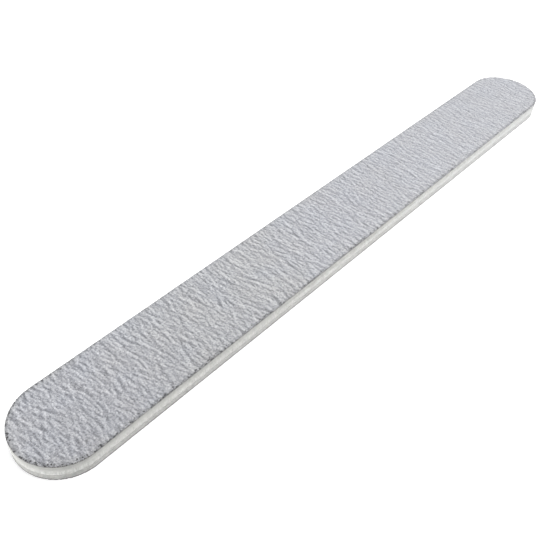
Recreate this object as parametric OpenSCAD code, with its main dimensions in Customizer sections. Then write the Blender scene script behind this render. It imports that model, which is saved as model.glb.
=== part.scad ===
// Straight emery board: a rigid core between two foam pads, with an abrasive sheet glued on each face.
// X runs along the board, Y across it and Z up. The origin is the middle of the lower abrasive face.

/* [Outline] */
// Length of the board over its two round ends
board_l = 177.8; // [120:0.1:240]
// Width of the board, which is also the diameter of its round ends
board_w = 19.05; // [12:0.05:32]

/* [Core] */
// Thickness of the rigid plastic core
core_t = 1.2; // [0.6:0.05:2.4]
// Radius that the cutting die rolls on the core's two rims
core_rim_r = 0.12; // [0.02:0.01:0.25]

/* [Foam pads] */
// Thickness of each foam pad
foam_t = 1.1; // [0.6:0.05:2.5]
// How far the cut edge of a pad springs back behind the outline at its middle
foam_hollow = 0.14; // [0.04:0.01:0.3]
// Height of the square land left above and below that hollow
foam_land = 0.08; // [0.04:0.01:0.2]

/* [Glue films] */
// Thickness of the film between the core and a pad
core_glue_t = 0.05; // [0.03:0.01:0.15]
// Thickness of the film between a pad and the sheet's backing paper
sheet_glue_t = 0.05; // [0.03:0.01:0.15]
// How far the films stop short of the outline, all round
glue_setback = 0.06; // [0:0.01:0.3]

/* [Abrasive sheets] */
// Thickness of the backing paper
paper_t = 0.15; // [0.08:0.01:0.4]
// Thickness of the resin coat that bonds the grit to the paper
resin_t = 0.05; // [0.02:0.01:0.12]
// Thickness of the grit coat, up to the crests of its ripples
grit_t = 0.2; // [0.12:0.01:0.6]
// Radius that the cutting die rolls on the rim of the grit coat
grit_rim_r = 0.1; // [0.02:0.01:0.1]

/* [Hidden] */

// Facets of a full circle
$fn = 96;
// Distance between the centres of the two round ends
straight_l = board_l - board_w;
// Radius of a round end
end_r = board_w / 2;

// Heights of the layers' inner faces above the middle plane of the core
core_glue_z = core_t / 2;
foam_z = core_glue_z + core_glue_t;
sheet_glue_z = foam_z + foam_t;
paper_z = sheet_glue_z + sheet_glue_t;
resin_z = paper_z + paper_t;
grit_z = resin_z + resin_t;
// Height of the middle plane above the face that the board rests on
middle_z = grit_z + grit_t;

// Height of the hollow in a pad's cut edge
hollow_h = foam_t - 2 * foam_land;
// Radius of the arc that is hollow_h high and foam_hollow deep
hollow_r = (hollow_h * hollow_h / 4 + foam_hollow * foam_hollow) / (2 * foam_hollow);

UPPER = 1;
LOWER = -1;

// Places what is drawn above the middle plane on the upper or the lower side of the board
module on_side(side) {
    translate([0, 0, middle_z])
        mirror([0, 0, side == LOWER ? 1 : 0])
            children();
}

// The die's outline: straight flanks and two half-round ends, moved in by inset
module outline(inset = 0) {
    square([straight_l, board_w - 2 * inset], center = true);
    for (end = [-1, 1])
        translate([end * straight_l / 2, 0])
            circle(r = end_r - inset);
}

// A flat layer from height z up to z + t
module layer(z, t, inset = 0) {
    translate([0, 0, z])
        linear_extrude(t)
            outline(inset);
}

// Sweeps a half section round the outline. Its X is the distance from the board's long centre line.
module sweep_section() {
    for (end = [-1, 1])
        translate([end * straight_l / 2, 0, 0])
            rotate([0, 0, -90 * end])
                rotate_extrude(angle = 180)
                    children();
    for (flank = [0, 1])
        mirror([0, flank, 0])
            translate([-straight_l / 2, 0, 0])
                rotate([90, 0, 90])
                    linear_extrude(straight_l)
                        children();
}

// Half section of a layer from the centre line to the outline, with the rims named by the caller rolled round
module rolled_section(t, rim_r, both_rims) {
    square([end_r - rim_r, t]);
    translate([0, both_rims ? rim_r : 0])
        square([end_r, t - rim_r * (both_rims ? 2 : 1)]);
    for (z = both_rims ? [rim_r, t - rim_r] : [t - rim_r])
        translate([end_r - rim_r, z])
            circle(r = rim_r);
}

module core_board() {
    color("whitesmoke")
        translate([0, 0, middle_z - core_t / 2])
            sweep_section()
                rolled_section(core_t, core_rim_r, both_rims = true);
}

module core_glue(side) {
    color("lightyellow")
        on_side(side)
            layer(core_glue_z, core_glue_t, glue_setback);
}

// The pad's cut edge is hollow, because the die squeezes the foam and it springs back
module foam_pad(side) {
    color([0.87, 0.88, 0.84])
        on_side(side)
            translate([0, 0, foam_z])
                sweep_section()
                    difference() {
                        square([end_r, foam_t]);
                        translate([end_r - foam_hollow + hollow_r, foam_t / 2])
                            circle(r = hollow_r);
                    }
}

module sheet_glue(side) {
    color("lightyellow")
        on_side(side)
            layer(sheet_glue_z, sheet_glue_t, glue_setback);
}

module backing_paper(side) {
    color([0.6, 0.6, 0.6])
        on_side(side)
            layer(paper_z, paper_t);
}

module resin_coat(side) {
    color([0.3, 0.3, 0.31])
        on_side(side)
            layer(resin_z, resin_t);
}

module grit_coat(side) {
    color([0.73, 0.73, 0.76])
        on_side(side)
            translate([0, 0, grit_z])
                sweep_section()
                    rolled_section(grit_t, grit_rim_r, both_rims = false);
}

core_board();
core_glue(UPPER);  // upper_core_glue
core_glue(LOWER);  // lower_core_glue
foam_pad(UPPER);  // upper_foam_pad
foam_pad(LOWER);  // lower_foam_pad
sheet_glue(UPPER);  // upper_sheet_glue
sheet_glue(LOWER);  // lower_sheet_glue
backing_paper(UPPER);  // upper_backing_paper
backing_paper(LOWER);  // lower_backing_paper
resin_coat(UPPER);  // upper_resin_coat
resin_coat(LOWER);  // lower_resin_coat
grit_coat(UPPER);  // upper_grit_coat
grit_coat(LOWER);  // lower_grit_coat
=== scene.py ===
import math

import bpy
import numpy as np
from mathutils import Matrix, Vector


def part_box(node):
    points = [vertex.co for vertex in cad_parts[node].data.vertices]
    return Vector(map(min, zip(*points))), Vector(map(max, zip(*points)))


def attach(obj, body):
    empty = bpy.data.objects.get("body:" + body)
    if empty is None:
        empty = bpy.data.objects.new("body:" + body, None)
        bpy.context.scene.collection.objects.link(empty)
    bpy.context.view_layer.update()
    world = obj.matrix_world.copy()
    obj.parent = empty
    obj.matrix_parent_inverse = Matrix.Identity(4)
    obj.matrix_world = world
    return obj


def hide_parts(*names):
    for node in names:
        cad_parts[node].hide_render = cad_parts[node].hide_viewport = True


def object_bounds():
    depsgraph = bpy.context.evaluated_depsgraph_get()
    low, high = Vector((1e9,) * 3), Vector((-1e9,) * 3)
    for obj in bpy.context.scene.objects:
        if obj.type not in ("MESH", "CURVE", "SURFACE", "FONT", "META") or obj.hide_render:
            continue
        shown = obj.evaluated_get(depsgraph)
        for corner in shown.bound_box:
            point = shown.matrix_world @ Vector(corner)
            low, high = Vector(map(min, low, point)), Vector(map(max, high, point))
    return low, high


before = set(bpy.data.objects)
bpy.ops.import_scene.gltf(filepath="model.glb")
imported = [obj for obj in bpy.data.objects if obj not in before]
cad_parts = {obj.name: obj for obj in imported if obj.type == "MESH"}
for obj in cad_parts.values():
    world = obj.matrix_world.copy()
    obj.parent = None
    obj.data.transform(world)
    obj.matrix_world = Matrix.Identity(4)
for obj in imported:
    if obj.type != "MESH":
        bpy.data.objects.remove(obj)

CAD_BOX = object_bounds()
BOARD_HALF_LENGTH, BOARD_RADIUS = CAD_BOX[1].x, CAD_BOX[1].y
MM = 0.001

# The camera, fitted to the photograph's outline of the board.
CAMERA_PLACE = (-0.112887, -0.071275, 0.114719)
CAMERA_RIGHT = (0.66328135, -0.74566621, 0.06355911)
CAMERA_UP = (0.50023984, 0.50492942, 0.70342475)
CAMERA_BACK = (-0.55661293, -0.43477372, 0.70792221)
CAMERA_LENS_MM = 47.262
SENSOR_MM = 36.0
CAMERA_CLIP = (0.005, 20.0)

# The tent's strength as a light, and as the camera sees it.
TENT_COLOUR = (0.97, 0.985, 1.0, 1.0)
TENT_LIGHTS = 0.44
TENT_SEEN = 0.92

# Each lamp's name, place, aim, side in metres and power in watts.
LAMP_COLOUR = (1.0, 0.99, 0.97)
LAMPS = (
    ("softbox", (0.18, -0.03, 0.44), (0.0, 0.0, 0.0), 0.40, 3.05),
    ("side_fill", (0.14, -0.30, 0.12), (0.04, 0.0, 0.0), 0.16, 0.34),
    ("end_fill", (-0.38, 0.11, 0.035), (-0.08, 0.0, 0.0), 0.08, 0.80),
)

# The white sheet that the board lies on: half its side in metres, its glow, shades and grain.
SHEET_HALF = 3.0
SHEET_GLOW = 0.64
SHEET_DARK, SHEET_LIGHT = (0.62, 0.62, 0.62), (0.64, 0.64, 0.64)
SHEET_GRAIN_MM = 0.02

# Colours of the abrasive, in linear light.
GRIT_TROUGH = (0.189, 0.195, 0.216)
GRIT_SLOPE = (0.314, 0.321, 0.348)
GRIT_CREST = (0.478, 0.485, 0.515)
GRIT_YELLOWING = (1.008, 1.003, 0.966)
GRIT_RUBBED = (0.350, 0.355, 0.366)
# painted shade toward the near corner
GRIT_CORNER_SHADE = (0.15, 0.15, 0.155)
GRIT_FAR = (0.332, 0.339, 0.361)
GRAIN_DARK = (0.09, 0.09, 0.095)
GRAIN_BRIGHT = (0.75, 0.75, 0.76)
RIM_SOIL = (0.10, 0.10, 0.105)
RIM_FLAKE = (0.050, 0.050, 0.053)

# Colours of the cut edge, in linear light.
RESIN_DARK = (0.09, 0.088, 0.09)
RESIN_LIGHT = (0.20, 0.195, 0.195)
RESIN_FAR = (0.45, 0.45, 0.45)
PAPER_DARK = (0.15, 0.148, 0.142)
PAPER_LIGHT = (0.30, 0.295, 0.284)
PAPER_PATCH = (0.225, 0.22, 0.212)
PAPER_FAR = (0.50, 0.50, 0.50)
GLUE_BUBBLE = (0.52, 0.51, 0.47)
GLUE_CLEAR = (0.66, 0.65, 0.61)
FOAM_SKIN = (0.50, 0.50, 0.487)
FOAM_TORN_SHADE = (0.32, 0.32, 0.308)
FOAM_CELL = (0.63, 0.63, 0.612)
FOAM_CLOUD = (0.45, 0.455, 0.435)
FOAM_NEAR = (0.35, 0.35, 0.34)
FOAM_FAR = (0.515, 0.525, 0.53)
CORE_DARK = (0.325, 0.327, 0.316)
CORE_LIGHT = (0.65, 0.652, 0.635)
CORE_CLOUD = (0.505, 0.505, 0.49)
CORE_FAR = (0.525, 0.535, 0.54)
# painted light on the upper pad just above the seam
SEAM_LIGHT = (0.53, 0.53, 0.515)
# painted shade under the upper sheet and low on the lower pad and core
EDGE_SHADE = (0.29, 0.29, 0.30)

# Sizes of the features in the materials, in millimetres.
DUST_MM = 0.34
GRAIN_MM = 0.26
FLAKE_MM = 0.40
CHIP_MM = 0.30
DRIFT_MM = 1.9
HANDLING_MM = 12.0
TINT_MM = 6.0
MOTTLE_MM = 0.35
FIBRE_MM = 0.10
PATCH_MM = 2.2
BUBBLE_MM = 0.22
CELL_MM = 0.16
FLECK_MM = 0.50
FOAM_CLOUD_MM = 3.5
STREAK_MM = 0.40
CORE_CLOUD_MM = 5.0

# The two places between which an effect comes or goes, in millimetres: along the board and across it
# from its middle, inward from its outline, up from the face that it rests on, or away from the seam.
HELD_FROM_ALONG, HELD_TO_ALONG, HELD_INWARD = (-72.0, -52.0), (-4.0, -26.0), (1.6, 0.2)
CORNER_ALONG, CORNER_ACROSS = (-10.0, -85.0), (5.0, -9.0)
CALMER_ALONG = (-30.0, 75.0)
SPARED_ALONG, SPARED_ACROSS = (-84.0, -64.0), (-6.0, 6.0)
WEAR_AND_LIGHT_ALONG = (-60.0, 5.0)
FAR_LIGHT_ALONG, FAR_LIGHT_INWARD = (0.0, 70.0), (0.40, 0.10)
SOIL_INWARD = (0.75, 0.30)
GRAINS_LOST_INWARD, FLAKES_LOST_INWARD = (0.60, 0.0), (0.80, 0.0)
PALER_ALONG = (0.0, 80.0)
FOAM_GREY_ALONG = (-80.0, 40.0)
CORE_PALER_ALONG = (-40.0, 80.0)
SEAM_LIGHT_ALONG, SEAM_LIGHT_FROM_SEAM = (-20.0, -65.0), (0.45, 0.10)
UNDER_SHEET_ALONG, UNDER_SHEET_UP = (80.0, 45.0), (3.10, 3.50)
LOW_SHADE_ALONG = (15.0, 75.0)
LOWER_PAD_UP, LOWER_PAD_SHADE_UP, CORE_SHADE_UP = (1.60, 1.50), (0.50, 1.10), (2.15, 1.70)

# How much of an effect there is where it is full. A pair gives it at both ends of what it follows.
HELD_SHARES, RIM_YELLOW_SHARE = (0.4, 1.0), 0.7
RUBBED_SHARE, CORNER_SHADE_SHARE, CALMER_SHARE = 0.16, 0.18, 0.38
DARK_GRAIN_SHARE, BRIGHT_GRAIN_SHARE = 0.65, 0.60
SPARED_SHARE, FAR_LIGHT_SHARE = 0.65, 0.9
WEAR_AND_LIGHT_SHARES = (0.95, 0.58)
SOIL_SHARE, SOIL_GAINS = 0.25, (1.0, 1.6)
PALER_SHARE, FOAM_PALER_SHARE = 0.6, 0.5
FOAM_GREY_SHARE, CLOUD_SHARE, BRIGHT_CELL_SHARE = 0.55, 0.35, 0.18
SEAM_LIGHT_SHARE, UNDER_SHEET_SHADE, CORE_SHADE = 0.65, 0.12, 0.20
LOWER_PAD_SHADE = (0.15, 0.33)

# The values that most of a noise lies between, and the parts of it that single effects use.
NOISE_RANGE = (0.3, 0.7)
CLOUD_RANGE = (0.35, 0.7)
MIDDLE_RANGE = (0.35, 0.65)
HELD_RANGE = (0.3, 0.6)
DRIFT_RANGE = (0.40, 0.60)

# What the low and the high values of a noise multiply a colour by.
DUST_SHADES = (0.50, 0.50, 0.51), (1.47, 1.47, 1.47)
TINTS = (0.988, 0.998, 1.010), (1.012, 1.002, 0.990)
FLECK_SHADES = (0.66, 0.66, 0.66), (1.32, 1.32, 1.32)

# Where the abrasive's three colours lie between a trough, 0, and a crest, 1.
CREST_STOPS = (0.0, 0.45, 1.0)

# The shares of the grains that are dark and bright.
DARK_GRAINS, BRIGHT_GRAINS = 0.12, 0.12
# The two distances from the middle of a grain, bubble or cell between which its colour comes or goes,
# as shares of its size.
DARK_GRAIN_EDGE, BRIGHT_GRAIN_EDGE = (0.42, 0.20), (0.38, 0.18)
BUBBLE_EDGE, CELL_EDGE = (0.1, 0.5), (0.45, 0.15)

# A lost grain or flake: the odds at the outline where the drift is low and where it is high, its own
# two distances, and how much of the chip noise they get.
LOSS_ODDS = (0.14, 0.95)
LOST_EDGE, LOST_CHIPS = (0.85, 0.65), 0.5

# The rim turns bare as its value in the mesh, with BARE_CHIPS of the chip noise, rises through a range.
BARE_RANGE, BARE_CHIPS = (0.70, 1.05), 0.8

# Roughness of each material, and its bump: depth in millimetres and strength.
GRIT_ROUGHNESS, GRIT_BUMP = (0.9, 0.65), (0.06, 0.9)
RESIN_ROUGHNESS, RESIN_BUMP = (0.35, 0.6), (0.03, 0.6)
FILM_ROUGHNESS, FILM_BUMP = (0.3, 0.5), (0.02, 0.5)
CORE_ROUGHNESS, CORE_BUMP = (0.6, 0.75), (0.02, 0.6)
PAPER_ROUGHNESS, PAPER_BUMP = 0.92, (0.04, 0.8)
FOAM_ROUGHNESS, FOAM_BUMP = 0.85, (0.03, 0.7)
SHEET_ROUGHNESS = 0.9
# How the abrasive's bump falls off with the distance from a grain's middle.
GRAIN_RELIEF = -0.6

# Kinds of ripple and of rim damage: wavelength, its spread as a logarithm, and how many degrees the
# crests stray.
LEANING = (1.5 * MM, 0.45, 12.0)
UPRIGHT = (1.3 * MM, 0.5, 11.0)
STROKES = (3.2 * MM, 0.40, 10.0)
LUMPS = (0.64 * MM, 0.4, 45.0)
TURNS = (8.0 * MM, 0.5, 90.0)
CALMS = (5.0 * MM, 0.5, 90.0)
NIBBLES = (0.45 * MM, 0.6, 90.0)
CHIPS = (0.9 * MM, 0.6, 90.0)

# How the ripples are put together.
LEAN_DEG = (19.0, -19.0)
VEIN_SHARE, UPRIGHT_SHARE = 0.6, 0.4
RIPPLE_WEIGHT, STROKE_WEIGHT, LUMP_WEIGHT = 0.73, 0.18, 0.44
TURN_SHARPNESS = 1.2
CALM_AMOUNT = 0.22
CALM_LIMITS = (0.3, 1.6)
EVEN_SIZE = 2 * MM
RIPPLE_MARGIN = 2 * MM
RIPPLE_STEP = 0.1 * MM
RIPPLE_DEPTH = 0.12 * MM

# The abrasive's mesh: the spacing of its columns round the outline and its points across the board.
GRIT_COLUMN = 0.172 * MM
GRIT_ROWS = 67

# Rings of the abrasive's rim, from the face down: inset in millimetres, and what a full nibble and a
# full chip of the die add to it.
RIM_INSETS_MM = (
    (0.04, 0.02, 0.12),
    (0.0, 0.05, 0.09),
    (0.0, 0.04, 0.05),
    (0.0, 0.02, 0.0),
)
# Inset of the face's own edge, and what a chip adds to it.
FACE_INSET_MM, FACE_CHIP_MM = 0.09, 0.20
# How far a nibble and a chip lower that edge, and the lowest that it goes.
NIBBLE_DROP, CHIP_DROP, EDGE_FLOOR = 0.02 * MM, 0.03 * MM, 0.15 * MM
# How far the first and the second ring lie below that edge, and the third below the second.
BEVEL_DROP, SHOULDER_DROP, FOOT_DROP = 0.015 * MM, 0.03 * MM, 0.01 * MM
# The depth that the second and the third ring reach at least.
SHOULDER_DEPTH, FOOT_DEPTH = 0.08 * MM, 0.14 * MM
# How bare the face's edge and the first ring are, and what a chip adds.
EDGE_BARE, EDGE_CHIP_BARE = 0.10, 0.5
BEVEL_BARE, BEVEL_CHIP_BARE, SHOULDER_BARE = 0.3, 0.4, 0.8

# How fast the freedom to stray inward grows away from a tip.
TIP_EASE = 0.5

# The rim damage is the first row of a strip of noise.
STRIP_ROWS, STRIP_STEP = 8, 0.2 * MM
# A nibble is a level plus a share of the noise, and a chip begins where the noise passes a level.
NIBBLE_LEVEL, NIBBLE_SHARE, NIBBLE_MOST = 0.5, 0.35, 1.3
CHIP_LEVEL, CHIP_MOST = 0.7, 1.4

# A foam pad's cut edge: rows of points, the hollow, the torn cells and the slow wave. A kind of noise
# is its wavelength and the spread of that as a logarithm.
FOAM_ROWS = 13
FOAM_HOLLOW, HOLLOW_SHARPNESS = 0.14 * MM, 1.35
TEARS = (0.30 * MM, 0.35)
TEAR_LEVEL, TEAR_MOST, TEAR_DEPTH, TORN_DEPTH = 0.5, 2.0, 0.05 * MM, 0.07 * MM
WAVES = (6.0 * MM, 0.5)
WAVE_MOST, WAVE_DEPTH, WAVE_SETBACK = 1.5, 0.012 * MM, 0.02 * MM
# Tears and wave fade toward the pad's two faces: how fast, and the share left there.
LAND_FADE, LAND_SHARE = 8, 0.15

# The core's cut edge: rolled rims, and upright streaks that are stronger on the upper half.
CORE_ROLL = 0.12 * MM
ROLL_ROWS, BODY_ROWS = 4, 7
STREAKS = (0.45 * MM, 0.6, 12.0)
STREAK_LEVEL, STREAK_SHARE, STREAK_DEPTH = 0.5, 0.4, 0.02 * MM
LOWER_STREAKS = 0.45

# The thin layers' frayed edges: rows of points, depth, wavelength, and how far a film of glue stops
# short.
RESIN_FRAY = (3, 0.05 * MM, 0.5 * MM)
PAPER_FRAY = (5, 0.05 * MM, 0.3 * MM)
FILM_FRAY = (3, 0.06 * MM, 1.2 * MM, 0.04 * MM)
SLOW_FRAY = 3.0 * MM
FRAY_SPREAD = 0.6
FRAY_LEVEL, FRAY_SHARE, SLOW_FRAY_SHARE, FRAY_MOST = 0.5, 0.3, 0.2, 1.2

# The spacing of the points round each layer's cut edge, and the angle above which an edge is sharp.
CORE_STEP = 0.13 * MM
FOAM_STEP = 0.115 * MM
PAPER_STEP = 0.12 * MM
RESIN_STEP = 0.15 * MM
FILM_STEP = 0.3 * MM
SHARP_DEG = 50

# Seeds, and for each side the greyness of its bare grit rim and the shade of its resin and paper. The
# lower side's darker values are painted shade where the board lies on the sheet.
CORE_SEED = 11
SIDES = (
    ("upper", 20, 0.27, 1.1),
    ("lower", 40, 0.16, 0.75),
)


# Camera, light and floor

def make_camera():
    """The photograph's camera: placed by its axes, with no shift and no depth of field."""
    data = bpy.data.cameras.new("camera")
    data.sensor_width = SENSOR_MM
    data.lens = CAMERA_LENS_MM
    data.clip_start, data.clip_end = CAMERA_CLIP
    camera = bpy.data.objects.new("camera", data)
    turn = Matrix((CAMERA_RIGHT, CAMERA_UP, CAMERA_BACK)).transposed()
    camera.matrix_world = Matrix.Translation(CAMERA_PLACE) @ turn.to_4x4()
    bpy.context.collection.objects.link(camera)
    bpy.context.scene.camera = camera


def area_light(name, place, aim, size, watts):
    """A square lamp at place, turned to aim."""
    data = bpy.data.lights.new(name, "AREA")
    data.shape = "SQUARE"
    data.size = size
    data.energy = watts
    data.color = LAMP_COLOUR
    light = bpy.data.objects.new(name, data)
    light.location = place
    light.rotation_mode = "QUATERNION"
    light.rotation_quaternion = (Vector(aim) - Vector(place)).to_track_quat("-Z", "Y")
    bpy.context.collection.objects.link(light)


def make_light():
    """A white tent, a softbox over the far end, and weak fills at the front flank and at the near end."""
    world = bpy.data.worlds.new("tent")
    world.use_nodes = True
    nodes, links = world.node_tree.nodes, world.node_tree.links
    background = nodes["Background"]
    background.inputs["Color"].default_value = TENT_COLOUR
    # it lights at one strength and is seen at another, as pale as the sheet where it meets the tent
    seen = nodes.new("ShaderNodeLightPath").outputs["Is Camera Ray"]
    strength = nodes.new("ShaderNodeMapRange")
    strength.inputs["To Min"].default_value = TENT_LIGHTS
    strength.inputs["To Max"].default_value = TENT_SEEN
    links.new(seen, strength.inputs["Value"])
    links.new(strength.outputs[0], background.inputs["Strength"])
    bpy.context.scene.world = world
    for lamp in LAMPS:
        area_light(*lamp)


def make_floor():
    """A plain white sheet under the board."""
    shader = Shader("floor")
    grain = shader.noise(SHEET_GRAIN_MM, detail=2.0)
    shade = shader.ramp(grain, NOISE_RANGE, (SHEET_DARK, SHEET_LIGHT))
    shader.surface(shade, SHEET_ROUGHNESS, emission=SHEET_GLOW)
    corners = SHEET_HALF * np.array([[-1, -1, 0], [1, -1, 0], [1, 1, 0], [-1, 1, 0]])
    floor = make_object("floor", corners, [np.array([[0, 1, 2, 3]])], shader.material)


# Node materials

class Shader:
    """One material, built from short calls. Places and the sizes of textures are in millimetres."""

    def __init__(self, name):
        self.material = bpy.data.materials.new(name)
        self.material.use_nodes = True
        self.tree = self.material.node_tree
        self.tree.nodes.clear()
        place = self.node("ShaderNodeTexCoord").outputs["Object"]
        in_mm = {0: place, "Scale": 1 / MM}
        self.place = self.node("ShaderNodeVectorMath", in_mm, operation="SCALE").outputs[0]
        # along the board and across it from its middle, and up from the face that it rests on
        parts = self.node("ShaderNodeSeparateXYZ", {0: self.place}).outputs
        self.along, self.across, self.height = parts[0], parts[1], parts[2]

    def node(self, kind, sockets=None, **settings):
        """A node with its settings made and its sockets linked or set."""
        made = self.tree.nodes.new(kind)
        for key, value in settings.items():
            setattr(made, key, value)
        for key, value in (sockets or {}).items():
            if isinstance(value, bpy.types.NodeSocket):
                self.tree.links.new(value, made.inputs[key])
            else:
                made.inputs[key].default_value = value
        return made

    def noise(self, scale, detail=3.0, rough=0.55, stretch=None):
        """Noise with features of about one size. stretch scales the place along each axis first."""
        where = self.place
        if stretch:
            scaled = {0: where, 1: stretch}
            where = self.node("ShaderNodeVectorMath", scaled, operation="MULTIPLY").outputs[0]
        sockets = {"Vector": where, "Scale": 1 / scale, "Detail": detail, "Roughness": rough}
        return self.node("ShaderNodeTexNoise", sockets).outputs["Fac"]

    def cells(self, scale):
        """Grains of about one size: the distance from each one's middle, and its random colour."""
        made = self.node("ShaderNodeTexVoronoi", {"Vector": self.place, "Scale": 1 / scale})
        return made.outputs["Distance"], made.outputs["Color"]

    def draws(self, colour):
        """A grain's random colour, taken as three numbers from 0 to 1."""
        return self.node("ShaderNodeSeparateColor", {"Color": colour}).outputs

    def inward(self):
        """Distance from the board's outline, in plan."""
        straight = (BOARD_HALF_LENGTH - BOARD_RADIUS) / MM
        beyond = self.math("SUBTRACT", self.math("ABSOLUTE", self.along), straight)
        beyond = self.math("MAXIMUM", beyond, 0.0)
        flat = self.node("ShaderNodeCombineXYZ", {0: beyond, 1: self.across}).outputs[0]
        reach = self.node("ShaderNodeVectorMath", {0: flat}, operation="LENGTH").outputs["Value"]
        return self.math("SUBTRACT", BOARD_RADIUS / MM, reach)

    def attribute(self, name):
        """A number stored on the mesh's points."""
        return self.node("ShaderNodeAttribute", attribute_name=name).outputs["Fac"]

    def math(self, operation, a, b=0.0):
        """One arithmetic step."""
        return self.node("ShaderNodeMath", {0: a, 1: b}, operation=operation).outputs[0]

    def times(self, a, b):
        """The product of two values."""
        return self.math("MULTIPLY", a, b)

    def without(self, value):
        """What value leaves of 1."""
        return self.math("SUBTRACT", 1.0, value)

    def span(self, value, low, high, to_low=0.0, to_high=1.0):
        """to_low where value is at low, to_high at high, held beyond both."""
        sockets = {"From Min": low, "From Max": high, "To Min": to_low, "To Max": to_high}
        return self.node("ShaderNodeMapRange", {"Value": value, **sockets}).outputs[0]

    def ramp(self, value, places, colours):
        """The colour at value, when each of the places has its colour and they blend in between."""
        made = self.node("ShaderNodeValToRGB", {"Fac": value})
        elements = made.color_ramp.elements
        while len(elements) < len(places):
            elements.new(0.5)
        for element, place, colour in zip(elements, places, colours):
            element.position = place
            element.color = (*colour, 1.0)
        return made.outputs["Color"]

    def mix(self, factor, a, b, blend="MIX"):
        """Colour a, blended with colour b by factor."""
        made = self.node("ShaderNodeMix", {"Factor": factor}, data_type="RGBA", blend_type=blend)
        for key, value in (("A", a), ("B", b)):
            socket = next(s for s in made.inputs if s.name == key and s.type == "RGBA")
            if isinstance(value, bpy.types.NodeSocket):
                self.tree.links.new(value, socket)
            else:
                socket.default_value = (*value, 1.0)
        return next(s for s in made.outputs if s.type == "RGBA")

    def varied(self, colour, value, low, high):
        """The colour times low where a noise is at the low end of its range, times high at the other."""
        return self.mix(1.0, colour, self.ramp(value, NOISE_RANGE, (low, high)), "MULTIPLY")

    def bump(self, height, depth_mm, strength):
        """A normal for relief too fine for the mesh."""
        sockets = {"Height": height, "Distance": depth_mm * MM, "Strength": strength}
        return self.node("ShaderNodeBump", sockets).outputs["Normal"]

    def surface(self, colour, roughness, normal=None, specular=0.5, scatter=0.0, radius_mm=0.5,
                emission=0.0):
        """The material's surface and its output."""
        sockets = {"Base Color": colour, "Roughness": roughness, "Specular IOR Level": specular}
        if normal:
            sockets["Normal"] = normal
        if scatter:
            sockets["Subsurface Weight"] = scatter
            sockets["Subsurface Radius"] = (1.0, 1.0, 1.0)
            sockets["Subsurface Scale"] = radius_mm * MM
        if emission:
            sockets["Emission Color"] = (1.0, 1.0, 1.0, 1.0)
            sockets["Emission Strength"] = emission
        shader = self.node("ShaderNodeBsdfPrincipled", sockets)
        self.node("ShaderNodeOutputMaterial", {"Surface": shader.outputs["BSDF"]})


def grit_material(name, wall):
    """Pale abrasive with light ridges, greyer troughs and odd grains. Its bare rim is as grey as wall."""
    s = Shader(name)
    inward = s.inward()
    dust = s.noise(DUST_MM, detail=4.0, rough=0.75)
    middle, colour = s.cells(GRAIN_MM)
    draws = s.draws(colour)
    body = handled_and_shaded(s, s.attribute("crest"), inward)
    body = s.varied(body, dust, *DUST_SHADES)
    dark = s.times(s.math("LESS_THAN", draws[0], DARK_GRAINS), s.span(middle, *DARK_GRAIN_EDGE))
    bright = s.math("GREATER_THAN", draws[1], 1 - BRIGHT_GRAINS)
    bright = s.times(bright, s.span(middle, *BRIGHT_GRAIN_EDGE))
    body = s.mix(s.times(dark, DARK_GRAIN_SHARE), body, GRAIN_DARK)
    body = s.mix(s.times(bright, BRIGHT_GRAIN_SHARE), body, GRAIN_BRIGHT)
    body = cut_rim(s, body, inward, wall, middle, draws)
    relief = s.math("ADD", dust, s.times(middle, GRAIN_RELIEF))
    roughness = s.span(dust, *NOISE_RANGE, *GRIT_ROUGHNESS)
    s.surface(body, roughness, s.bump(relief, *GRIT_BUMP), specular=0.35)
    return s.material


def handled_and_shaded(s, crest, inward):
    """The abrasive's colour from trough to crest, with what use has done to it along the board, and a
    painted shade toward the near corner.
    """
    body = s.ramp(crest, CREST_STOPS, (GRIT_TROUGH, GRIT_SLOPE, GRIT_CREST))
    # slightly yellowed where fingers hold the board, and all round beside the rim
    rubbed = s.noise(HANDLING_MM, detail=3.0)
    held = s.math("MINIMUM", s.span(s.along, *HELD_FROM_ALONG), s.span(s.along, *HELD_TO_ALONG))
    held = s.times(held, s.span(rubbed, *HELD_RANGE, *HELD_SHARES))
    held = s.math("MAXIMUM", held, s.span(inward, *HELD_INWARD, 0.0, RIM_YELLOW_SHARE))
    body = s.mix(held, body, GRIT_YELLOWING, "MULTIPLY")
    body = s.mix(s.span(rubbed, *NOISE_RANGE, 0.0, RUBBED_SHARE), body, GRIT_RUBBED)
    tint = s.noise(TINT_MM, detail=4.0)
    body = s.varied(body, tint, *TINTS)
    # a painted shade toward the near corner, and less contrast toward the far end
    corner_shade = s.times(s.span(s.along, *CORNER_ALONG), s.span(s.across, *CORNER_ACROSS))
    body = s.mix(s.times(corner_shade, CORNER_SHADE_SHARE), body, GRIT_CORNER_SHADE)
    return s.mix(s.span(s.along, *CALMER_ALONG, 0.0, CALMER_SHARE), body, GRIT_FAR)


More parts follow.
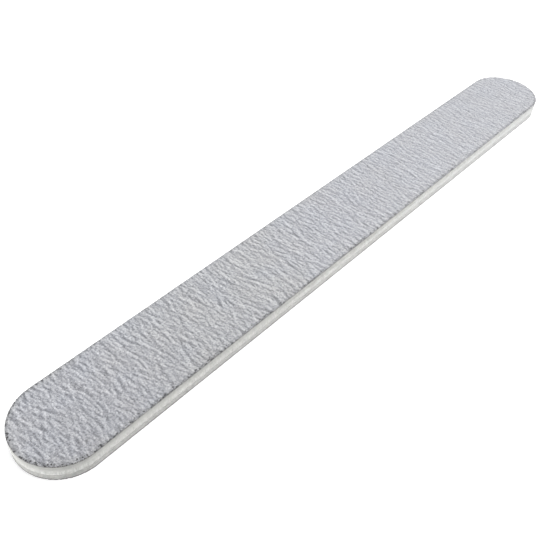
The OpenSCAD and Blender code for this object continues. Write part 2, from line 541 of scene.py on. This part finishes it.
def cut_rim(s, body, inward, wall, middle, draws):
    """The cut rim: a bare grey wall, soil beside it, and grains broken out in clusters. It turns paler
    toward the far end as painted light.
    """
    chips = s.noise(CHIP_MM, detail=3.0, rough=0.8)
    drift = s.noise(DRIFT_MM, detail=2.0)
    # the rim is barer toward the near end and paler toward the far end, partly wear and partly painted
    # light, and spared on the +Y side beyond its tip
    spared = s.span(s.across, *SPARED_ACROSS, 0.0, SPARED_SHARE)
    spared = s.times(spared, s.span(s.along, *SPARED_ALONG))
    wear_and_light = s.times(s.span(s.along, *WEAR_AND_LIGHT_ALONG, *WEAR_AND_LIGHT_SHARES), s.without(spared))
    # toward the far end the outermost edge keeps the face's colour: painted light
    far = s.span(s.along, *FAR_LIGHT_ALONG)
    left_by_far_light = s.without(s.times(far, s.span(inward, *FAR_LIGHT_INWARD, 0.0, FAR_LIGHT_SHARE)))
    soil = s.span(inward, *SOIL_INWARD, 0.0, SOIL_SHARE)
    soil = s.times(soil, s.span(far, 0.0, 1.0, *SOIL_GAINS))
    soil = s.times(s.times(soil, s.without(spared)), left_by_far_light)
    body = s.mix(soil, body, RIM_SOIL)
    bare = s.math("ADD", s.attribute("rim"), s.times(chips, BARE_CHIPS))
    bare = s.times(s.times(s.span(bare, *BARE_RANGE), wear_and_light), left_by_far_light)
    # wall is darker on the lower side: painted shade where the board lies on the sheet
    body = s.mix(bare, body, (wall, wall, wall))
    # grains and larger flakes are lost beside the outline, many in some places and few in others
    patchy = s.span(drift, *DRIFT_RANGE, *LOSS_ODDS)
    flake_middle, colour = s.cells(FLAKE_MM)
    grains = (draws[2], middle, GRAINS_LOST_INWARD)
    flakes = (s.draws(colour)[0], flake_middle, FLAKES_LOST_INWARD)
    for draw, from_middle, reach in (grains, flakes):
        odds = s.times(s.span(inward, *reach), patchy)
        ragged = s.math("ADD", from_middle, s.times(chips, LOST_CHIPS))
        lost = s.times(s.math("LESS_THAN", draw, odds), s.span(ragged, *LOST_EDGE))
        body = s.mix(s.times(lost, wear_and_light), body, RIM_FLAKE)
    return body


def resin_material(name, shade):
    """The bond coat: dark, slightly glossy, mottled, and paler toward the far end as painted light."""
    s = Shader(name)
    mottle = s.noise(MOTTLE_MM, detail=3.0)
    colour = s.ramp(mottle, MIDDLE_RANGE, (RESIN_DARK, RESIN_LIGHT))
    # painted light: paler toward the far end
    colour = s.mix(s.span(s.along, *PALER_ALONG, 0.0, PALER_SHARE), colour, RESIN_FAR)
    # times the side's shade: the lower side's copy is darker, a painted shade where the board lies on the
    # sheet
    colour = s.mix(1.0, colour, (shade, shade, shade), "MULTIPLY")
    roughness = s.span(mottle, *NOISE_RANGE, *RESIN_ROUGHNESS)
    s.surface(colour, roughness, s.bump(mottle, *RESIN_BUMP))
    return s.material


def paper_material(name, shade):
    """Grey backing paper with fibres that lie along its cut edge, paler toward the far end as painted
    light.
    """
    s = Shader(name)
    fibre = s.noise(FIBRE_MM, detail=4.0, rough=0.7, stretch=(0.25, 0.25, 1.0))
    patch = s.noise(PATCH_MM, detail=2.0)
    colour = s.ramp(fibre, NOISE_RANGE, (PAPER_DARK, PAPER_LIGHT))
    colour = s.mix(s.span(patch, *MIDDLE_RANGE), colour, PAPER_PATCH)
    # painted light: paler toward the far end
    colour = s.mix(s.span(s.along, *PALER_ALONG, 0.0, PALER_SHARE), colour, PAPER_FAR)
    # times the side's shade: the lower side's copy is darker, a painted shade where the board lies on the
    # sheet
    colour = s.mix(1.0, colour, (shade, shade, shade), "MULTIPLY")
    s.surface(colour, PAPER_ROUGHNESS, s.bump(fibre, *PAPER_BUMP), specular=0.25)
    return s.material


def film_material(name):
    """Clear-drying glue that has yellowed a little and holds fine bubbles."""
    s = Shader(name)
    bubble = s.cells(BUBBLE_MM)[0]
    colour = s.ramp(bubble, BUBBLE_EDGE, (GLUE_BUBBLE, GLUE_CLEAR))
    roughness = s.span(bubble, *BUBBLE_EDGE, *FILM_ROUGHNESS)
    s.surface(colour, roughness, s.bump(bubble, *FILM_BUMP))
    return s.material


def foam_material(name, seam):
    """Off-white closed-cell foam, greyer in the torn cells as a painted shade in their hollows. seam is
    where the upper pad begins.
    """
    s = Shader(name)
    cell = s.cells(CELL_MM)[0]
    cloud = s.noise(FOAM_CLOUD_MM, detail=3.0)
    fleck = s.noise(FLECK_MM, detail=3.0, rough=0.75, stretch=(1.0, 1.0, 0.4))
    # painted shade: greyer where the edge is torn deeper
    colour = s.ramp(s.attribute("pore"), (0.0, 1.0), (FOAM_SKIN, FOAM_TORN_SHADE))
    colour = s.varied(colour, fleck, *FLECK_SHADES)
    colour = s.mix(s.span(cell, *CELL_EDGE, 0.0, BRIGHT_CELL_SHARE), colour, FOAM_CELL)
    colour = s.mix(s.span(cloud, *CLOUD_RANGE, 0.0, CLOUD_SHARE), colour, FOAM_CLOUD)
    # painted shade: greyer toward the near end; painted light: paler toward the far end
    colour = s.mix(s.span(s.along, *FOAM_GREY_ALONG, FOAM_GREY_SHARE, 0.0), colour, FOAM_NEAR)
    colour = s.mix(s.span(s.along, *PALER_ALONG, 0.0, FOAM_PALER_SHARE), colour, FOAM_FAR)
    # painted light: paler just above the seam, where the upper pad meets the core, at the near end
    beside = s.math("ABSOLUTE", s.math("SUBTRACT", s.height, seam))
    seam_light = s.span(beside, *SEAM_LIGHT_FROM_SEAM, 0.0, SEAM_LIGHT_SHARE)
    seam_light = s.times(seam_light, s.span(s.along, *SEAM_LIGHT_ALONG))
    colour = s.mix(seam_light, colour, SEAM_LIGHT)
    # painted shade: a little under the upper sheet, and more on the lower pad toward the far end
    under = s.span(s.height, *UNDER_SHEET_UP, 0.0, UNDER_SHEET_SHADE)
    under = s.times(under, s.span(s.along, *UNDER_SHEET_ALONG))
    low = s.span(s.height, *LOWER_PAD_SHADE_UP, *LOWER_PAD_SHADE)
    low = s.times(s.span(s.height, *LOWER_PAD_UP), low)
    low = s.times(low, s.span(s.along, *LOW_SHADE_ALONG))
    colour = s.mix(s.math("MAXIMUM", under, low), colour, EDGE_SHADE)
    bump = s.bump(cell, *FOAM_BUMP)
    s.surface(colour, FOAM_ROUGHNESS, bump, specular=0.3, scatter=0.35, radius_mm=0.35)
    return s.material


def core_material(name):
    """White plastic, drawn out in fine upright streaks where the die sheared it."""
    s = Shader(name)
    streak = s.noise(STREAK_MM, detail=4.0, rough=0.8, stretch=(1.0, 1.0, 0.25))
    cloud = s.noise(CORE_CLOUD_MM, detail=2.0)
    colour = s.ramp(streak, NOISE_RANGE, (CORE_DARK, CORE_LIGHT))
    colour = s.mix(s.span(cloud, *CLOUD_RANGE, 0.0, CLOUD_SHARE), colour, CORE_CLOUD)
    # painted light: paler toward the far end
    colour = s.mix(s.span(s.along, *CORE_PALER_ALONG, 0.0, PALER_SHARE), colour, CORE_FAR)
    # the lower pad's painted shade reaches up the lower half
    low = s.span(s.height, *CORE_SHADE_UP, 0.0, CORE_SHADE)
    low = s.times(low, s.span(s.along, *LOW_SHADE_ALONG))
    colour = s.mix(low, colour, EDGE_SHADE)
    roughness = s.span(streak, *NOISE_RANGE, *CORE_ROUGHNESS)
    bump = s.bump(streak, *CORE_BUMP)
    s.surface(colour, roughness, bump, specular=0.3, scatter=0.30, radius_mm=0.6)
    return s.material


# Meshes

def make_object(name, points, face_sets, material, attributes=None, sharp_deg=None):
    """An object from an array of points in metres and arrays of triangles or quads."""
    mesh = bpy.data.meshes.new(name)
    sizes = np.concatenate([np.full(len(f), f.shape[1]) for f in face_sets])
    corners = np.concatenate([np.asarray(f).ravel() for f in face_sets]).astype(np.int32)
    starts = np.concatenate([[0], np.cumsum(sizes)[:-1]]).astype(np.int32)
    mesh.vertices.add(len(points))
    mesh.vertices.foreach_set("co", np.asarray(points, np.float32).ravel())
    mesh.loops.add(len(corners))
    mesh.loops.foreach_set("vertex_index", corners)
    mesh.polygons.add(len(sizes))
    mesh.polygons.foreach_set("loop_start", starts)
    mesh.update(calc_edges=True)
    for key, values in (attributes or {}).items():
        layer = mesh.attributes.new(key, "FLOAT", "POINT")
        layer.data.foreach_set("value", np.asarray(values, np.float32))
    mesh.polygons.foreach_set("use_smooth", np.ones(len(sizes), bool))
    if sharp_deg:
        mesh.set_sharp_from_angle(angle=math.radians(sharp_deg))
    mesh.materials.append(material)
    made = bpy.data.objects.new(name, mesh)
    bpy.context.collection.objects.link(made)
    return made


def stand_in(piece, node):
    """The piece rides on the board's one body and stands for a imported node."""
    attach(piece, "root")
    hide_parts(node)


class Outline:
    """The board's outline, cut into columns across the width. The first and the last are the two tips.

    A loop goes once round it: each tip has one point in it and each other column two.
    """

    def __init__(self, half_length, radius, step):
        quarter = round(math.pi / 2 * radius / step)
        straight = half_length - radius
        along = round(2 * straight / step)
        turn = np.linspace(math.pi / 2, 0, quarter + 1)
        middle = np.linspace(-straight, straight, along + 1)[1:-1]
        near, far = np.full(quarter + 1, -straight), np.full(quarter + 1, straight)
        self.radius = radius
        self.centre = np.concatenate([near, middle, far])
        self.out_x = np.concatenate([-np.sin(turn), np.zeros(along - 1), np.sin(turn[::-1])])
        self.out_y = np.concatenate([np.cos(turn), np.ones(along - 1), np.cos(turn[::-1])])
        self.out_y[[0, -1]] = 0.0
        self.columns = len(self.centre)
        self.count = 2 * self.columns - 2

    def loop(self, inset):
        """x and y of the loop's points. inset is one number or one for each point."""
        centre = np.concatenate([self.centre, self.centre[-2:0:-1]])
        out_x = np.concatenate([self.out_x, self.out_x[-2:0:-1]])
        out_y = np.concatenate([self.out_y, -self.out_y[-2:0:-1]])
        reach = self.radius - inset
        return centre + out_x * reach, out_y * reach

    def point_step(self):
        """The mean distance between the loop's points."""
        x, y = self.loop(0.0)
        return np.cumsum(np.hypot(np.diff(x), np.diff(y)))[-1] / (self.count - 1)

    def ease(self):
        """How freely each point may stray inward: 0 at a tip, 1 on the straights, so no columns cross."""
        level = TIP_EASE * self.out_y / np.maximum(np.abs(self.out_x), 1e-6)
        half = np.clip(level, 0, 1)
        return np.concatenate([half, half[-2:0:-1]])


def wave_numbers(shape, steps):
    """Wave numbers of a grid of values, along its first and its second axis."""
    return np.fft.fftfreq(shape[0], steps[0])[:, None], np.fft.fftfreq(shape[1], steps[1])[None, :]


def band_noise(shape, steps, rng, wavelength, width, spread_deg, tilt_deg=0.0):
    """Periodic noise of about one wavelength. Its crests run along the first axis, give or take spread.

    tilt turns them away from that axis, and width is the spread of the wavelength as a logarithm.
    """
    k_first, k_second = wave_numbers(shape, steps)
    k = np.hypot(k_first, k_second) + 1e-12
    angle = np.degrees(np.arctan2(k_first, k_second)) - tilt_deg
    angle = (angle + 90.0) % 180.0 - 90.0
    keep = np.exp(-0.5 * (np.log(k * wavelength) / width) ** 2)
    keep *= np.exp(-0.5 * (angle / spread_deg) ** 2)
    field = np.fft.ifft2(np.fft.fft2(rng.standard_normal(shape)) * keep).real
    return field / field.std()


def smooth(field, steps, size):
    """Gaussian blur by FFT. size is its standard deviation."""
    k_first, k_second = wave_numbers(field.shape, steps)
    keep = np.exp(-2 * (math.pi * size) ** 2 * (k_first ** 2 + k_second ** 2))
    return np.fft.ifft2(np.fft.fft2(field) * keep).real


def sample(field, step, corner, x, y):
    """Bilinear value of field[y, x], whose first point lies at corner. Places are held within it."""
    fx = np.clip((x - corner[0]) / step, 0, field.shape[1] - 1.001)
    fy = np.clip((y - corner[1]) / step, 0, field.shape[0] - 1.001)
    ix, iy = fx.astype(int), fy.astype(int)
    tx, ty = fx - ix, fy - iy
    low = field[iy, ix] * (1 - tx) + field[iy, ix + 1] * tx
    high = field[iy + 1, ix] * (1 - tx) + field[iy + 1, ix + 1] * tx
    return low * (1 - ty) + high * ty


def ripple_field(half_length, half_width, step, rng):
    """Ripples across the board, from 0 in a trough to 1 on a crest, and the place of their first point.

    Two leaning families meet in narrow diamonds, pale ones in some places and dark ones in others.
    """
    length, width = 2 * (half_length + RIPPLE_MARGIN), 2 * (half_width + RIPPLE_MARGIN)
    shape = (round(width / step), round(length / step))
    steps = (step, step)
    lean = [band_noise(shape, steps, rng, *LEANING, tilt) for tilt in LEAN_DEG]
    pale = np.maximum(*lean)
    dark = np.minimum(*lean)
    turn = 0.5 + 0.5 * np.tanh(TURN_SHARPNESS * band_noise(shape, steps, rng, *TURNS))
    veins = (pale - pale.mean()) * turn + (dark - dark.mean()) * (1 - turn)
    veins /= veins.std()
    upright = band_noise(shape, steps, rng, *UPRIGHT)
    ripples = VEIN_SHARE * veins + UPRIGHT_SHARE * upright
    ripples /= np.sqrt(smooth(ripples ** 2, steps, EVEN_SIZE))
    strokes = band_noise(shape, steps, rng, *STROKES)
    lumps = band_noise(shape, steps, rng, *LUMPS)
    calm = np.clip(1 + CALM_AMOUNT * band_noise(shape, steps, rng, *CALMS), *CALM_LIMITS)
    height = RIPPLE_WEIGHT * ripples + STROKE_WEIGHT * strokes + LUMP_WEIGHT * lumps
    crest = 0.5 + 0.5 * np.tanh(calm * height)
    return crest, (-half_length - RIPPLE_MARGIN, -half_width - RIPPLE_MARGIN)


def rim_damage(outline, rng):
    """How far the die nibbled at each point of the loop, and how far it chipped the coat away."""
    shape, steps = (STRIP_ROWS, outline.count), (STRIP_STEP, outline.point_step())
    nibble = NIBBLE_LEVEL + NIBBLE_SHARE * band_noise(shape, steps, rng, *NIBBLES)[0]
    chip = band_noise(shape, steps, rng, *CHIPS)[0] - CHIP_LEVEL
    return np.clip(nibble, 0, NIBBLE_MOST), outline.ease() * np.clip(chip, 0, CHIP_MOST)


def face_grid(outline, inset):
    """x and y of the points of a face, its quads and tip triangles, and the loop of its edge."""
    edge_x, edge_y = outline.loop(inset)
    far_tip = outline.columns - 1
    plus = slice(1, far_tip)
    minus = slice(outline.count - 1, far_tip, -1)
    across = np.linspace(0, 1, GRIT_ROWS)
    x = edge_x[plus, None] + (edge_x[minus] - edge_x[plus])[:, None] * across
    y = edge_y[plus, None] + (edge_y[minus] - edge_y[plus])[:, None] * across
    x = np.concatenate([[edge_x[0]], x.ravel(), [edge_x[far_tip]]])
    y = np.concatenate([[0.0], y.ravel(), [0.0]])
    index = 1 + np.arange((outline.columns - 2) * GRIT_ROWS).reshape(-1, GRIT_ROWS)
    last = 1 + index.size
    quads = np.stack([index[:-1, :-1], index[:-1, 1:], index[1:, 1:], index[1:, :-1]], -1)
    near_fan = np.stack([np.zeros(GRIT_ROWS - 1, int), index[0, 1:], index[0, :-1]], -1)
    far_fan = np.stack([np.full(GRIT_ROWS - 1, last), index[-1, :-1], index[-1, 1:]], -1)
    edge = np.concatenate([[0], index[:, 0], [last], index[::-1, -1]])
    return x, y, [quads.reshape(-1, 4), near_fan, far_fan], edge


def grit_face(name, node, up, seed, material):
    """The abrasive coat: a rippled face cut down from the crest plane, with a nibbled die-cut rim."""
    rng = np.random.default_rng(seed)
    low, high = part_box(node)
    inner, face = (low.z, high.z) if up else (high.z, low.z)
    outline = Outline(high.x, high.y, GRIT_COLUMN)
    crest_field, corner = ripple_field(high.x, high.y, RIPPLE_STEP, rng)
    nibble, chip = rim_damage(outline, rng)

    # the face, with heights below the crest plane
    x, y, faces, edge = face_grid(outline, (FACE_INSET_MM + FACE_CHIP_MM * chip) * MM)
    crest = sample(crest_field, RIPPLE_STEP, corner, x, y)
    z = -RIPPLE_DEPTH * (1 - crest)
    z[edge] = np.maximum(z[edge] - NIBBLE_DROP * nibble - CHIP_DROP * chip, -EDGE_FLOOR)
    rim = np.zeros(len(x))
    rim[edge] = EDGE_BARE + EDGE_CHIP_BARE * chip

    # the rim: rings from the face's edge out to the cut and down to the resin, each more or less bare
    insets = [flat + more * nibble + most * chip for flat, more, most in RIM_INSETS_MM]
    insets[-1] = insets[-1] * outline.ease()
    shoulder = np.minimum(z[edge] - SHOULDER_DROP, -SHOULDER_DEPTH)
    foot = np.minimum(shoulder - FOOT_DROP, -FOOT_DEPTH)
    heights = (z[edge] - BEVEL_DROP, shoulder, foot, -abs(face - inner))
    bareness = (BEVEL_BARE + BEVEL_CHIP_BARE * chip, SHOULDER_BARE, 1.0, 1.0)
    points, crests, rims, loops = [np.stack([x, y, z], -1)], [crest], [rim], [edge]
    for row, (inset, height, bare) in enumerate(zip(insets, heights, bareness)):
        ring_x, ring_y = outline.loop(inset * MM)
        points.append(np.stack([ring_x, ring_y, np.broadcast_to(height, ring_x.shape)], -1))
        crests.append(crest[edge])
        rims.append(np.broadcast_to(bare, ring_x.shape))
        loops.append(len(x) + row * outline.count + np.arange(outline.count))
    points = np.concatenate(points)
    points[:, 2] = face + points[:, 2] * (1 if up else -1)
    faces = [*faces, *walls(loops), *cap(loops[-1], outline.columns)]
    values = {"crest": np.concatenate(crests), "rim": np.concatenate(rims)}
    piece = make_object(name, points, face_turned(faces, not up), material, values)
    stand_in(piece, node)


def walls(loops):
    """Quads between each loop of points and the next, facing outward where the loops go down."""
    pairs = zip(loops[:-1], loops[1:])
    return [np.stack([a, np.roll(a, -1), np.roll(b, -1), b], -1) for a, b in pairs]


def cap(loop, columns):
    """A flat underside from a loop of points: quads between the columns and a triangle at each tip."""
    plus = loop[:columns]
    minus = np.concatenate([[loop[0]], loop[:columns - 1:-1], [loop[columns - 1]]])
    quads = np.stack([plus[1:-2], plus[2:-1], minus[2:-1], minus[1:-2]], -1)
    tips = np.array([
        [plus[0], plus[1], minus[1]],
        [plus[-1], minus[-2], plus[-2]],
    ])
    return quads, tips


def face_turned(face_sets, turned):
    """The faces, each turned over if turned is true."""
    return [f[:, ::-1] for f in face_sets] if turned else face_sets


def slab(name, node, step, ring_spec, material, attributes=None):
    """A flat layer whose cut edge is a stack of rings, from the bottom up.

    ring_spec gives the rings' insets and heights. Each attribute is worked out from the insets.
    """
    low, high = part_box(node)
    outline = Outline(BOARD_HALF_LENGTH, BOARD_RADIUS, step)
    insets, heights = ring_spec(outline, low.z, high.z)
    for row in (0, -1):
        middle = insets[row].mean()
        insets[row] = middle + (insets[row] - middle) * outline.ease()
    points, loops = [], []
    for row, (inset, height) in enumerate(zip(insets, heights)):
        x, y = outline.loop(inset)
        points.append(np.stack([x, y, np.broadcast_to(height, x.shape)], -1))
        loops.append(np.arange(outline.count) + row * outline.count)
    lower = cap(loops[0], outline.columns)
    upper = cap(loops[-1], outline.columns)
    faces = [*face_turned(walls(loops), True), *lower, *face_turned(upper, True)]
    extra = {key: make(insets) for key, make in (attributes or {}).items()}
    piece = make_object(name, np.concatenate(points), faces, material, extra, SHARP_DEG)
    stand_in(piece, node)
    return piece


def edge_noise(outline, rows, row_step, rng, wavelength, width, spread=90.0):
    """Noise on the cut edge: rows up the thickness by points round the outline."""
    shape = (max(4 * rows, 16), outline.count)
    steps = (row_step, outline.point_step())
    return band_noise(shape, steps, rng, wavelength, width, spread)[:rows]


def foam_rings(seed):
    """Rings of a foam pad's edge: square lands, a hollow between them, torn cells and a slow wave."""
    def rings(outline, low, high):
        rng = np.random.default_rng(seed)
        level = np.linspace(0, 1, FOAM_ROWS)
        heights = low + (high - low) * level
        row_step = (high - low) / (FOAM_ROWS - 1)
        hollow = FOAM_HOLLOW * np.clip(1 - (2 * level - 1) ** 2 * HOLLOW_SHARPNESS, 0, 1)[:, None]
        cells = edge_noise(outline, FOAM_ROWS, row_step, rng, *TEARS)
        slow = edge_noise(outline, FOAM_ROWS, row_step, rng, *WAVES)
        torn = np.clip(cells - TEAR_LEVEL, 0, TEAR_MOST) * TEAR_DEPTH
        wave = np.clip(slow, -WAVE_MOST, WAVE_MOST) * WAVE_DEPTH
        inset = hollow + torn + np.clip(wave + WAVE_SETBACK, 0, None)
        fade = np.clip(np.minimum(level, 1 - level) * LAND_FADE, LAND_SHARE, 1)[:, None]
        return hollow + (inset - hollow) * fade, heights
    return rings


def pore_values(insets):
    """How deep each point of a foam edge is torn below its row's median, from 0 to 1."""
    over = insets - np.median(insets, axis=1, keepdims=True)
    return np.clip(over / TORN_DEPTH, 0, 1).ravel()


def core_rings(seed):
    """Rings of the core's edge: rolled rims, a burnished lower half and a rougher upper half."""
    def rings(outline, low, high):
        rng = np.random.default_rng(seed)
        thick = high - low
        turn = np.linspace(0, math.pi / 2, ROLL_ROWS)
        edge_in = CORE_ROLL * (1 - np.sin(turn))
        edge_up = CORE_ROLL * (1 - np.cos(turn))
        body = np.linspace(CORE_ROLL, thick - CORE_ROLL, BODY_ROWS)[1:-1]
        insets = np.concatenate([edge_in, np.zeros(len(body)), edge_in[::-1]])
        heights = low + np.concatenate([edge_up, body, thick - edge_up[::-1]])
        rows = len(insets)
        streak = edge_noise(outline, rows, thick / rows, rng, *STREAKS)
        streak = np.clip(STREAK_LEVEL + STREAK_SHARE * streak, 0, None)
        rough = np.where(np.arange(rows) > rows // 2, 1.0, LOWER_STREAKS)[:, None]
        return insets[:, None] + streak * rough * STREAK_DEPTH, heights
    return rings


def frayed_rings(seed, rows, reach, wavelength, setback=0.0):
    """Rings of a thin layer's edge, frayed inward from setback by up to about reach."""
    def rings(outline, low, high):
        rng = np.random.default_rng(seed)
        heights = np.linspace(low, high, rows)
        row_step = (high - low) / (rows - 1)
        fray = edge_noise(outline, rows, row_step, rng, wavelength, FRAY_SPREAD)
        slow = edge_noise(outline, rows, row_step, rng, SLOW_FRAY, FRAY_SPREAD)
        amount = FRAY_LEVEL + FRAY_SHARE * fray + SLOW_FRAY_SHARE * slow
        return setback + reach * np.clip(amount, 0, FRAY_MOST), heights
    return rings


def glue_film(name, node, seed, material):
    """A film of glue, which stops a little short of the cut edge."""
    slab(name, node, FILM_STEP, frayed_rings(seed, *FILM_FRAY), material)


def board_side(side, seed, wall, shade, film, foam):
    """All that lies on one side of the core, from a row of SIDES."""
    # each side gets its own copies of these materials, the lower side's darker as painted shade
    grit = grit_material(f"{side}_pale_grit", wall)
    resin = resin_material(f"{side}_dark_resin", shade)
    paper = paper_material(f"{side}_grey_paper", shade)
    grit_face(f"{side}_grit", f"{side}_grit_coat", side == "upper", seed, grit)
    slab(f"{side}_resin", f"{side}_resin_coat", RESIN_STEP,
         frayed_rings(seed + 1, *RESIN_FRAY), resin)
    slab(f"{side}_paper", f"{side}_backing_paper", PAPER_STEP,
         frayed_rings(seed + 2, *PAPER_FRAY), paper)
    glue_film(f"{side}_sheet_film", f"{side}_sheet_glue", seed + 3, film)
    pad = slab(f"{side}_foam", f"{side}_foam_pad", FOAM_STEP,
               foam_rings(seed + 4), foam, {"pore": pore_values})
    glue_film(f"{side}_core_film", f"{side}_core_glue", seed + 5, film)


make_camera()
make_light()
make_floor()

film = film_material("glue_film")
foam = foam_material("white_foam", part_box("upper_foam_pad")[0].z / MM)
core = core_material("white_core")
slab("core", "core_board", CORE_STEP, core_rings(CORE_SEED), core)
for row in SIDES:
    board_side(*row, film, foam)

bpy.context.scene.view_settings.view_transform = "Standard"
